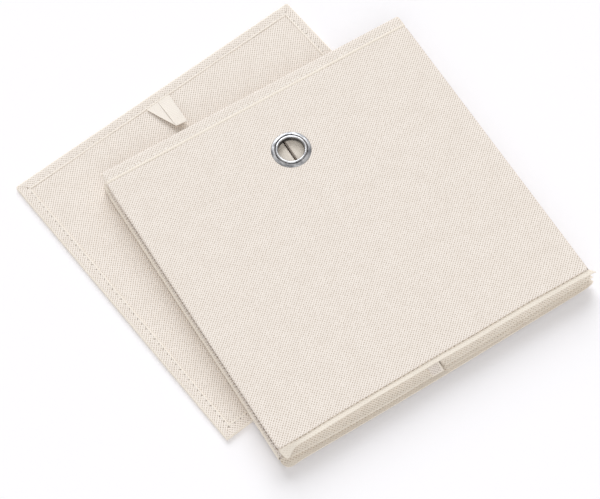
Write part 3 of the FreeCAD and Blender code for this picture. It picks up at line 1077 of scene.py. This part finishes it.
@dataclass
class CornerWrap:
    """Cover fabric that goes round a corner of the box, from a wall to the half side wall it folds on."""

    wall: Wall
    half: Wall
    side: Side
    blended: bool
    outside: float = 140.0
    thickness: float = 0.45

    def profile(self, out: float, top: float, from_top: Pairs, from_half: Pairs) -> Array:
        """Section round the corner.

        Args:
            out: Distance of the corner's outside from the middle of the box.
            top: Height of the wall's outside face.
            from_top: Points measured from the wall's outside face.
            from_half: Points measured from the half's outside face.

        Returns:
            Rows of distance from the middle of the box, and height.
        """
        up = self.wall.facing.value
        starts = [top] * len(from_top) + [self.half.face_z] * len(from_half)
        past, on = np.array(from_top + from_half).T
        return stacked(out + past, starts - up * on)

    def build(self) -> None:
        """Builds the wrap below the hem band."""
        wall, half, sign = self.wall, self.half, self.side.value
        from_top, from_half = CORNER_WRAPS[wall.facing]
        profile = self.profile(self.outside, wall.face_z, from_top, from_half + UNDER_HALF * self.blended)
        y = spread(wall.seam_y + 0.2, min(wall.hem_y, half.hem_y) - wall.hem_width - 0.3, 8.0)
        sway = 0.16 * (ripple(y, 0, 31 + wall.seed * 3 + sign) - 0.5)
        finish = np.zeros((len(profile) - 1, 1), int)
        # The back wall's wrap takes the creased finish on its outer bulge: flattened cloth, with a painted
        # highlight along the box's lower outer edge.
        if wall.facing is Facing.DOWN:
            finish[2:7] = 1
        shell = Shell()
        shell.strip(self.side, profile, y, (self.outside - 4, (wall.face_z + half.face_z) / 2),
                    self.thickness, finish, (profile[:, :1] > self.outside - 0.15) * sway)
        name = f"{wall.name}_{self.side.name.lower()}_corner_wrap"
        piece = shell.build(name + "_cloth", (FABRIC, CREASE_AND_HIGHLIGHT), None if self.blended else wall.body,
                            CREAM, name)
        if self.blended:
            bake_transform(piece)
        wall.trims.append(piece)

    def build_hem_corner(self) -> None:
        """The hem band's own fabric where it goes round the corner, riding on the wall."""
        wall, out, hem = self.wall, self.outside - 0.1, self.wall.hem_y
        top = wall.face_z + 0.2 * wall.facing.value
        profile = self.profile(out, top, *HEM_CORNERS[wall.facing])
        y = np.array([
            hem - wall.hem_width, *spread(hem - 10, hem - 2.4, 2.5), hem - 1.4, hem - 0.6, hem - 0.2])
        finish = np.zeros((len(profile) - 1, len(y) - 1), int)
        # Its edges take the creased finish: flattened cloth, with a painted highlight along the folds.
        finish[0] = finish[-2:] = finish[:, -2:] = 1
        shell = Shell()
        shell.strip(self.side, profile, y, (out - 4, (top + self.half.face_z) / 2), 0.3, finish,
                    -rounded(hem - y, 2.2))
        wall.trims.append(shell.build(
            f"{wall.name}_{self.side.name.lower()}_hem_corner", (FABRIC, CREASE_AND_HIGHLIGHT), wall.body, CREAM))


@dataclass
class FoldStrip:
    """Cover fabric that joins the two halves of a side wall at their fold."""

    side: Side
    lower: Wall
    upper: Wall
    thickness: float = 0.28

    def build(self) -> None:
        """Builds the strip, on no body, among the lower half's trims."""
        low, high = self.lower.z_high, self.upper.z_low
        middle = (low + high) / 2
        profile = np.array([
            (4.5, high - 0.06), (2.6, high - 0.06), (1.7, high - 0.1), (1.15, high - 0.22),
            (1.0, middle + 0.2), (0.95, middle), (1.0, middle - 0.2),
            (1.15, low + 0.22), (1.7, low + 0.1), (2.6, low + 0.06), (4.5, low + 0.06)])
        y = spread(self.lower.seam_y + 0.5, self.lower.hem_y - self.lower.hem_width - 0.5, 10.0)
        shell = Shell()
        shell.strip(self.side, profile, y, (3.0, middle), self.thickness)
        piece = shell.build(self.side.name.lower() + "_fold_strip", (FABRIC,), None, CREAM)
        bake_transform(piece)
        self.lower.trims.append(piece)


@dataclass
class BottomTriangle:
    """One triangle of the soft bottom, sewn along a wall's bottom edge and lying on the wall's inside."""

    node: str
    body: str
    seed: int
    apex_at: float = 0.5
    cells: int = 24
    lap: float = 1.0

    def build(self) -> None:
        """Builds the triangle as a thin, slightly wavy sheet that laps into the seams around it."""
        low, high = box_of(self.node)
        low[:2] -= self.lap
        high[:2] += self.lap
        width, length, _ = high - low
        s, t = np.meshgrid(np.linspace(0, 1, self.cells + 1), np.linspace(0, 0.985, self.cells + 1))
        x, y = low[0] + width * (self.apex_at * t + (1 - t) * s), low[1] + length * t
        inside = np.minimum(np.minimum(s, 1 - s) * 2, t)
        shell = Shell()
        shell.sheet(stacked(x, y, high[2] - 0.04 - 0.1 * ripple(x, y, self.seed) * inside), stacked(x, y),
                    0.26, (x.mean(), y.mean(), -90))
        piece = shell.build(self.node + "_cloth", (INSIDE_CLOTH,), self.body, CREAM, self.node)


@dataclass
class FoldTab:
    """Doubled fabric tab that slants from the left side wall's fold down to the back wall's rim."""

    wall: Wall
    node: str = "fold_tab"
    thickness: float = 0.7

    def build(self) -> None:
        """Builds the tab, a little hollow along its middle, with creased edges whose lighter finish is partly
        a painted highlight.
        """
        low, high = box_of(self.node)
        line = through([
            (0.0, high[1] + 0.1, high[2] - 0.1), (0.2, high[1] - 1.0, high[2] + 0.05),
            (0.35, high[1] - 1.9, high[2] - 0.6), (0.6, high[1] - 3.8, high[2] - 3.0),
            (0.85, high[1] - 5.6, high[2] - 5.3), (1.0, low[1] + 0.3, low[2] + 1.0)], 22)
        down, y, z = line.T[..., None]
        across = np.linspace(0, 1, 9)
        left, right = low[0] + 0.3 + down, high[0] + 0.8 + 2.2 * down
        x = left + (right - left) * across
        bulge = 0.35 * np.sin(math.pi * across) * np.sin(math.pi * np.linspace(0.1, 1, 22))[:, None]
        finish = np.zeros((21, 8), int)
        # Its right edge and lower end take the creased finish: flattened cloth, with a painted highlight.
        finish[:, -1] = finish[-2:] = 1
        shell = Shell()
        shell.sheet(stacked(x, y - 0.6 * bulge, z + 0.7 * bulge), stacked(x, run(line[:, 1:])[:, None]),
                    self.thickness, stacked(x, high[1] + 2, low[2] - 2), finish)
        self.wall.trims.append(shell.build(
            "fold_tab_cloth", (FABRIC, CREASE_AND_HIGHLIGHT), self.wall.body, CREAM, self.node))


@dataclass
class Eyelet:
    """Nickel-plated finger eyelet: sloping flange, groove, rolled lip, and a barrel clinched on a washer."""

    wall: Wall
    centre_y: float = 78.0
    outer: float = 16.2
    bore: float = 10.75
    segments: int = 144

    def profile(self) -> Array:
        """The ring's section, from the flange's rim to the clinch.

        Returns:
            Rows of radius, height above the wall's outside face, and finish.
        """
        under = self.wall.z_low - self.wall.z_high - 0.5
        barrel = self.bore + 0.5
        # Finish 1 is the groove's painted shade, also on the hidden bore and barrel; finish 2 is the flange's
        # painted darker reflection.
        return np.array([
            (self.outer - 0.15, -0.1, 2), (self.outer, 0.06, 2), (self.outer - 0.06, 0.2, 2),
            (self.outer - 0.35, 0.36, 2), (15.2, 0.62, 2), (14.4, 0.82, 2), (13.8, 0.93, 1), (13.4, 0.95, 1),
            (13.05, 0.84, 1), (12.95, 0.62, 1), (12.88, 0.6, 1), (12.8, 0.78, 1), (12.66, 1.1, 2),
            (12.42, 1.36, 0), (12.1, 1.53, 0), (11.75, 1.6, 0), (11.4, 1.56, 0), (11.1, 1.42, 0),
            (10.9, 1.18, 0), (10.79, 0.88, 0), (self.bore, 0.5, 1), (self.bore, -1.4, 1),
            (self.bore, under + 0.1, 1), (10.85, under - 0.25, 1), (barrel + 0.2, under - 0.45, 0),
            (12.2, under - 0.4, 0), (12.6, under - 0.2, 0), (12.58, under - 0.02, 0),
            (barrel + 0.02, under - 0.02, 1), (barrel, under + 0.5, 1), (barrel, -0.1, 1)])

    def build(self) -> None:
        """Turns the profile round the bore."""
        profile = self.profile()
        closed = np.vstack([profile, profile[:1]])[:, :2]
        radius, height = closed.T[..., None]
        turn = np.linspace(0, math.tau, self.segments + 1)
        shell = Shell()
        shell.grid(
            stacked(radius * np.cos(turn), self.centre_y + radius * np.sin(turn), self.wall.z_high + height),
            stacked(turn * 13.0, run(closed)[:, None]), profile[:, 2:].astype(int))
        shell.build("eyelet_turned_ring", (PLATE, SHADED_GROOVE_PLATE, DARKENED_FLANGE_PLATE), self.wall.body, NICKEL,
                    "eyelet_ring", crease=60)


@dataclass
class BaseBoard:
    """Loose base board: greyboard between a top sheet and a bottom sheet folded over as a stitched border."""

    body: str = "base_board"
    centre: tuple[float, float] = (-45.4, 53.9)
    turn: float = 7.2
    half: float = 138.6
    border: float = 9.3
    top_z: float = 3.4
    corner: float = 2.0

    def placed(self, points: Array, quarter: int = 0) -> Array:
        """Points from the board's own frame, turned by quarters and moved to where the board lies."""
        return turned(turned(points, 90 * quarter), self.turn) + (*self.centre, 0.0)

    def build(self) -> None:
        """Builds the sheets, the border and its stitching."""
        self.lay_sheet("base_board_top_sheet", self.half - self.border + 1.4, 7.0,
                       (self.top_z - 0.28, 0.14, 0.2), 0.0, "base_board_top_fabric")
        self.lay_sheet("base_board_bottom_sheet", self.half - 0.4, 12.0, (0.0, 0.0, 0.4), 9.0)
        self.build_border()
        self.sew_border()
        dress_node("base_board_core", BOARD)

    def lay_sheet(self, name: str, reach: float, step: float, lie: Point, core_z: float, *nodes: str) -> None:
        """Lays a square sheet of cloth on the core or under it.

        Args:
            name: Name of the piece.
            reach: Half of the sheet's side.
            step: Size of its quads.
            lie: Height of the face that shows, how high its waves are, and the cloth's thickness.
            core_z: A height on the covered side.
            *nodes: CAD nodes that the sheet replaces.
        """
        z, waviness, thickness = lie
        lines = spread(-reach, reach, step)
        x, y = np.meshgrid(lines, lines)
        shell = Shell()
        shell.sheet(self.placed(stacked(x, y, z + waviness * ripple(x, y, 71))), stacked(x, y), thickness,
                    (*self.centre, core_z))
        piece = shell.build(name, (FABRIC,), self.body, CREAM, *nodes)

    def border_profile(self) -> Array:
        """Section of the border, from its edge under the board to its free edge on top.

        Returns:
            Rows of distance in from the board's edge, and height.
        """
        top = self.top_z
        return np.array([
            (1.4, 0.02), (0.7, 0.04), (0.25, 0.3), (0.04, 0.8), (0.0, 1.6), (0.04, 2.5), (0.2, top - 0.45),
            (0.55, top - 0.12), (1.2, top + 0.06), (2.4, top + 0.12), (4.6, top + 0.12), (6.2, top + 0.08),
            (6.9, top - 0.02), (7.5, top + 0.08), (8.3, top + 0.24), (8.9, top + 0.24),
            (self.border, top + 0.1)])

    def side_grid(self, profile: Array, gap: float) -> Array:
        """One side's border strip, mitred at both ends, along the board's +Y side.

        Args:
            profile: Section of the strip.
            gap: How far the mitre at its -X end stands open.

        Returns:
            Rows along the section by columns along the side by 3, in the board's own frame.
        """
        inset, height = profile.T[..., None]
        radius = np.maximum(self.corner - inset, 0)
        share = np.linspace(0, 1, 6)
        centre = self.half - np.maximum(inset, self.corner)
        bend = share * math.pi / 4
        end_x = centre + radius * np.sin(bend) - (1 - share) * (self.corner - radius)
        end_y = centre + radius * np.cos(bend)
        middle_x = np.linspace(-1, 1, 46)[1:-1] * end_x[:, :1]
        x = np.concatenate([-(end_x - gap)[:, ::-1], middle_x, end_x - 0.02], axis=1)
        y = np.concatenate([end_y[:, ::-1], end_y[:, :1] + 0 * middle_x, end_y], axis=1)
        return stacked(x, y, height)

    def build_border(self) -> None:
        """Four mitred strips, folded from the bottom over the edge on to the top."""
        shell = Shell()
        profile = self.border_profile()
        around = run(profile)
        row_middle = (profile[:-1, :1] + profile[1:, :1]) / 2
        # The outer edge and a band just short of the free edge take the creased finish: flattened cloth, with
        # a painted highlight along the edge and the fold.
        finish = ((row_middle < 1.4) | ((row_middle > 7.9) & (row_middle < 8.9))).astype(int)
        edge = smooth_step(profile[:, :1], 5.0, self.border)
        for quarter in range(4):
            grid = self.side_grid(profile, 0.14 if quarter == 0 else 0.02)
            x = grid[..., 0]
            grid[..., 1] += 0.5 * (ripple(x, 37 * quarter, 83) - 0.5) * edge
            grid[..., 2] += 0.22 * (ripple(x, 61 * quarter, 84) - 0.3) * edge
            shell.sheet(self.placed(grid, quarter), stacked(x, around[:, None]), 0.3,
                        self.placed(stacked(x, self.half - 5, 1.6), quarter), finish)
        piece = shell.build("base_board_border", (FABRIC, CREASE_AND_HIGHLIGHT), self.body, CREAM,
                            "base_board_wrapped_fabric")

    def sew_border(self) -> None:
        """One row of stitches near the free edge of each border strip."""
        shell = Shell()
        # How far each row runs in from the board's edge, and the size of its needle holes, on the top, left,
        # bottom and right sides.
        for quarter, (inset, hole) in enumerate(((6.6, 0.55), (7.3, 1.0), (7.2, 0.9), (6.5, 0.9))):
            sewing = Sewing(pitch=5.45, thread=(4.3, 0.42, 0.26), hole=(hole, hole, 0.2))
            y = self.half - inset
            ends = np.array(level(self.top_z + 0.02, (0.3 - y, y), (y - 0.3, y)))
            sewing.row(shell, *self.placed(ends, quarter), (0, 0, 1))
        shell.build("base_board_stitching", (THREAD, NEEDLE_HOLE), self.body, CREAM)


@dataclass
class PullLoop:
    """Pull loop of the base board: one ribbon folded into a V, its right leg over its left."""

    board: BaseBoard
    body: str = "pull_loop"
    node: str = "pull_loop"
    root: tuple[float, float, float, float] = (-14.7, -3.3, 7.8, 128.9)
    tip: Point = (-5.9, 3.6, 99.6)
    slant: float = -2.0
    ribbon: float = 0.4
    lift: float = 3.0

    def build(self) -> None:
        """Builds the ribbon from the left root, round its tip, to the right root."""
        low, high = box_of(self.node)
        z_low, z_high = low[2] + self.ribbon, high[2] + 0.1
        outer_left, middle, outer_right, root_y = self.root
        tip_left, tip_right, tip_y = self.tip
        share = np.linspace(0, 1, 18)
        bow = np.sin(math.pi * share)

        def leg(left: float, right: float, z: Array) -> Array:
            """One leg's rows from root to tip: left edge, right edge, y, z, and share of the way."""
            return stacked(left + (tip_left - left) * share, right + (tip_right - right) * share,
                           root_y + (tip_y - root_y) * share, z, share)

        turn = np.linspace(0.15, 0.85, 6) * math.pi
        bend = stacked(tip_left, tip_right, tip_y - 0.4 * np.sin(turn),
                       z_low + (z_high - z_low) * (1 - np.cos(turn)) / 2, 1.0)
        path = np.concatenate([leg(outer_left, middle, z_low + 0.12 * bow), bend,
                               leg(middle, outer_right, z_high + 0.4 * bow ** 2)[::-1]])
        left, right, y, z, out = path.T[..., None]
        across = np.linspace(0, 1, 12)
        x = left + (right - left) * across
        curl = 0.06 * np.abs(2 * across - 1) ** 6
        ribbon = stacked(x, y + self.slant * (across - 0.3) * out, z + curl + self.lift * out ** 1.5)
        shell = Shell()
        shell.sheet(self.board.placed(ribbon), stacked(across * 11.3, run(path[:, 2:4])[:, None]),
                    self.ribbon * 0.85, self.board.placed(stacked(x, 118.0, (z_low + z_high) / 2)))
        piece = shell.build("pull_loop_ribbon", (RIBBON_WEAVE,), self.body, RIBBON, self.node)


# The studio


@dataclass(frozen=True)
class Lamp:
    """A wide soft source, far away."""

    name: str
    share: float
    heading: float
    height: float
    width: float
    tint: Point

    def build(self) -> None:
        """Sets the lamp so that it gives its share of the light on a level face."""
        lamp = bpy.data.lights.new(self.name, "SUN")
        heading, height = math.radians(self.heading), math.radians(self.height)
        lamp.angle = math.radians(self.width)
        lamp.energy = self.share * math.pi / math.sin(height)
        lamp.color = self.tint
        toward = Vector((math.cos(heading) * math.cos(height), math.sin(heading) * math.cos(height),
                         math.sin(height)))
        in_scene(self.name, lamp).rotation_euler = toward.to_track_quat("Z", "Y").to_euler()


@dataclass
class Studio:
    """Plain pale floor, soft light from the upper right, and the camera at the photograph's angle."""

    eye: Point = (-380.1, -603.4, 1411.1)
    target: Point = (-35.2, 7.6, 0.0)
    lens: float = 120.2
    roll: float = -2.165
    sky: float = 0.4
    sky_tint: Point = (1.03, 1.0, 0.955)
    lamps: tuple[Lamp, ...] = (
        Lamp("window_light", 0.39, 68.0, 36.0, 44.0, (0.98, 1.0, 1.03)),
        Lamp("reflector_light", 0.21, -115.0, 42.0, 70.0, (0.99, 1.0, 1.02)))
    floor_size: float = 9000.0

    def build(self) -> None:
        """Builds the floor, the light and the camera."""
        self.build_floor()
        self.build_sky()
        for lamp in self.lamps:
            lamp.build()
        self.build_camera()

    @staticmethod
    def seen_or_mirrored(tree: bpy.types.NodeTree) -> bpy.types.Node:
        """Tells what is seen from what gives light.

        Args:
            tree: The node tree that gets the nodes.

        Returns:
            A node that gives 1 where it is seen, straight or in a mirror, and 0 for the light it gives.
        """
        path = add_node(tree, "LightPath").outputs
        mirrored = add_node(tree, "Math", {0: path["Is Glossy Ray"], 1: path["Is Transmission Ray"]},
                            operation="MAXIMUM")
        return add_node(tree, "Math", {0: path["Is Camera Ray"], 1: mirrored}, operation="MAXIMUM")

    def build_floor(self) -> None:
        """A wide matte paper floor that keeps the shadows and is white where none falls."""
        material = bpy.data.materials.new("matte_studio_paper")
        tree = empty_tree(material)
        place = add_node(tree, "TexCoord").outputs["Object"]
        grain = add_node(tree, "TexNoise", {"Vector": place, "Scale": 90.0, "Detail": 2.0})
        bump = add_node(tree, "Bump", {"Height": grain, "Strength": 0.05, "Distance": 0.1 * MM})
        paper = add_node(tree, "BsdfDiffuse", {"Color": "#F8F7FA", "Roughness": 0.0, "Normal": bump})
        glow = add_node(tree, "Emission", {
            "Color": (0.06, 0.06, 0.06, 1.0), "Strength": self.seen_or_mirrored(tree)})
        add_node(tree, "OutputMaterial", {"Surface": add_node(tree, "AddShader", {0: paper, 1: glow})})
        half = self.floor_size / 2 * MM
        mesh = bpy.data.meshes.new("studio_floor")
        mesh.from_pydata([(-half, -half, 0), (half, -half, 0), (half, half, 0), (-half, half, 0)], [],
                         [(0, 1, 2, 3)])
        mesh.materials.append(material)
        floor = in_scene("studio_floor", mesh)
        floor.location.z = -0.02 * MM

    def build_sky(self) -> None:
        """Even light from all round, seen as white by the camera."""
        world = bpy.data.worlds.new("studio_light")
        tree = empty_tree(world)
        strength = add_node(tree, "MapRange", {
            "Value": self.seen_or_mirrored(tree), "To Min": self.sky, "To Max": 1.0})
        light = add_node(tree, "Background", {"Color": (*self.sky_tint, 1.0), "Strength": strength})
        add_node(tree, "OutputWorld", {"Surface": light})
        bpy.context.scene.world = world

    def build_camera(self) -> None:
        """The camera, with the photograph's slight roll."""
        data = bpy.data.cameras.new("camera")
        data.lens, data.sensor_width = self.lens, 36.0
        eye, target = Vector(self.eye) * MM, Vector(self.target) * MM
        back = (eye - target).normalized()
        right = Vector((0, 0, 1)).cross(back).normalized()
        level_view = Matrix((right, back.cross(right), back)).transposed().to_4x4()
        camera = in_scene("camera", data)
        camera.matrix_world = (
            Matrix.Translation(eye) @ level_view @ Matrix.Rotation(math.radians(self.roll), 4, "Z"))
        bpy.context.scene.camera = camera


def seam_lips(walls: dict[str, Wall]) -> list[SeamLip]:
    """The six seam allowances, with the edges read from the photo.

    Args:
        walls: The walls by name.

    Returns:
        The front rim, the upper and lower lips on both sides, and the back rim.
    """
    return [
        SeamLip(walls["front"], [
            (-139.0, -132.6, 19.4), (-138.6, -133.2, 19.7), (-138.0, -133.7, 19.9), (-137.0, -134.0, 20.0),
            (-135.5, -134.2, 20.1), (-133.5, -134.2, 20.15), *level(
                20.2, (-131, -134.2), (-128, -134.2), (-124, -134.2), (-117, -134.15), (-106, -133.8),
                (-90, -133.3), (-68, -133.15), (-24, -132.95), (0, -132.7), (33, -132.8), (75, -132.3),
                (100, -132.6), (112, -132.95), (128, -133.1)), (138, -133.1, 20.1), (139.6, -132.6, 19.9)], [
            (-139.6, -135.6, 17.6), (-138.6, -138.4, 16.0), (-137.2, -140.9, 14.9), (-135.4, -141.6, 14.4),
            (-132.9, -140.4, 14.8), (-131.0, -139.2, 15.8), (-129.0, -138.4, 17.0), (-126.6, -137.9, 18.2),
            (-123, -137.9, 18.9), (-117, -138.0, 19.3), *level(
                19.4, (-106, -137.8), (-90, -137.2), (-68, -136.9), (-24, -136.7), (0, -136.6), (33, -136.6),
                (75, -136.3), (100, -136.5), (112, -136.7), (128, -136.8)), (141, -137.2, 19.2),
            (144.0, -137.4, 18.8)], seed=11, thickness=1.1, stations=150, groove=-0.5, highlight_from=1),
        SeamLip(walls["left_upper"], [
            (-134.4, -134.0, 14.0),
            *level(14.1, (-123, -134.0), (-104, -134.0), (-66, -134.0), (-44, -134.0), (-9.0, -134.0))], [
            (-133.4, -141.0, 11.2), (-123, -141.2, 10.6),
            *level(10.4, (-104, -141.9), (-66, -142.3), (-44, -142.2), (-8.2, -141.6))],
            seed=12, thickness=0.9, arch=-0.7),
        SeamLip(walls["right_upper"], [
            *level(14.1, (2.2, -134.0), (23, -134.0), (69, -134.0), (92, -134.0), (127, -134.0)),
            (139.2, -134.0, 14.6)], [
            *level(11.0, (5.0, -139.3), (23, -139.0), (69, -138.1), (92, -137.6)), (127, -137.6, 11.2),
            (142.0, -138.0, 12.4)], seed=13, thickness=0.9, arch=-0.5),
        SeamLip(
            walls["left_lower"], level(11.4, (-132.4, -134.0), (-90, -134.0), (-50, -134.0), (-9.0, -134.0)),
            level(6.8, (-131.8, -138.4), (-90, -139.2), (-50, -139.3), (-8.2, -138.8)), seed=14, arch=-0.3),
        SeamLip(walls["right_lower"], [
            *level(11.4, (2.4, -134.0), (46, -134.0), (92, -134.0)), (138.2, -134.0, 11.6)], [
            *level(7.2, (5.2, -141.4), (46, -140.9), (92, -139.9)), (141.4, -139.4, 8.4)],
            seed=15, thickness=0.9, arch=-1.4),
        SeamLip(walls["back"], [
            (-139.4, -135.2, 5.2), (-139.2, -135.6, 5.3), (-138.8, -135.9, 5.35), (-137.5, -136.0, 5.4),
            (-134, -136.0, 5.5), *level(
                5.6, (-129, -136.0), (-123, -136.0), (-87, -136.0), (-43, -136.0), (7, -136.0), (47, -136.0),
                (93, -136.0)), *level(5.5, (128, -136.0), (137, -136.0)), (139.8, -135.5, 5.8)], [
            *level(4.9, (-140.6, -137.4), (-140.6, -139.6), (-139.8, -141.9), (-138.2, -144.0),
                   (-134.6, -145.2), (-129, -144.9), (-123, -144.6), (-87, -144.6), (-43, -144.2),
                   (7, -143.6), (47, -142.7), (93, -141.7)),
            (128, -140.8, 5.0), (139.5, -139.8, 5.6), (142.0, -138.6, 6.6)],
            seed=16, thickness=1.2, stations=150, arch=-0.4, highlight_from=3)]


def sew_front_seam(front: Wall) -> None:
    """Dark needle holes in the groove between the front wall and its rim, drawn long so that they also paint
    the groove's shade as a dotted line.

    Args:
        front: The front wall.
    """
    shell = Shell()
    sewing = Sewing(pitch=4.2, thread=(1.5, 0.5, 0.25), hole=(2.0, 0.3, 0.2))
    points = level(
        19.8, (-137, -133.9), (-117, -133.9), (-104, -133.5), (-88, -133.0), (-66, -132.9), (0, -132.5),
        (33, -132.5), (75, -132.1), (93, -132.2), (112, -132.7), (137, -132.9))
    for start, end in zip(points, points[1:]):
        sewing.row(shell, start, end, (0, -0.35, 0.94))
    # The same dark needle holes, drawn tall, run along the front wall's upright corner seams in the slot
    # under its side edges, and paint the slot's shade as a dashed line.
    corner = Sewing(pitch=3.6, thread=(1.0, 0.4, 0.3), hole=(2.5, 0.5, 0.9))
    for side in Side:
        corner.row(shell, (side.value * 139.85, -131, 17.9), (side.value * 139.85, 98, 17.9),
                   (side.value, 0, 0.3))
    front.trims.append(shell.build("front_seam_stitching", (THREAD, NEEDLE_HOLE), front.body, CREAM))


def main() -> None:
    """Builds the box, its base board and the studio, in order."""
    logging.basicConfig(level=logging.INFO, format="%(name)s %(message)s")
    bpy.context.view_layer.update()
    bpy.context.scene.view_settings.view_transform = "Standard"
    Studio().build()

    front = Wall("front", "front_wall", Facing.UP, 1, hole=(0.0, 78.0, 11.4), below_seam=0.5, hem_proud=0.4,
                 edge=0.6, weave_stretch=(0.9815, 1.0463), weave_lean=1.0, bow=(
                     (-140, -1.7), (-117, -1.7), (-106, -1.3), (-90, -0.8), (-68, -0.7), (0, -0.3),
                     (33, -0.35), (75, 0.15), (89, 0.1), (112, -0.5), (140, -0.7)))
    walls = {"front": front, "back": Wall("back", "back_wall", Facing.DOWN, 2)}
    for side in Side:
        key = side.name.lower()
        walls[key + "_lower"] = Wall(key + "_lower", key + "_side_lower_half", Facing.UP, 4 + side.value)
        walls[key + "_upper"] = Wall(key + "_upper", key + "_side_upper_half", Facing.DOWN, 8 + side.value)
    for wall in walls.values():
        wall.build()
    for lip in seam_lips(walls):
        lip.build()
    sew_front_seam(front)
    for side in Side:
        key = side.name.lower()
        for name, half in (("front", "upper"), ("back", "lower")):
            open_corner = name == "front" and side is Side.RIGHT
            wrap = CornerWrap(walls[name], walls[f"{key}_{half}"], side, not open_corner)
            wrap.build()
            wrap.build_hem_corner()
            BottomTriangle(f"bottom_fabric_{key}_{half}", f"bottom_{key}_{half}_triangle", 40 + side.value,
                           1.0 if side is Side.LEFT else 0.0).build()
        FoldStrip(side, walls[key + "_lower"], walls[key + "_upper"]).build()
    for name in ("front", "back"):
        BottomTriangle("bottom_fabric_" + name, f"bottom_{name}_triangle", 44 + len(name)).build()
    FoldTab(walls["left_upper"]).build()
    for wall in walls.values():
        wall.declare_cover()
    Eyelet(front).build()
    dress_node("eyelet_washer", WASHER_PLATE)
    board = BaseBoard()
    board.build()
    PullLoop(board).build()


if __name__ == "__main__":
    main()
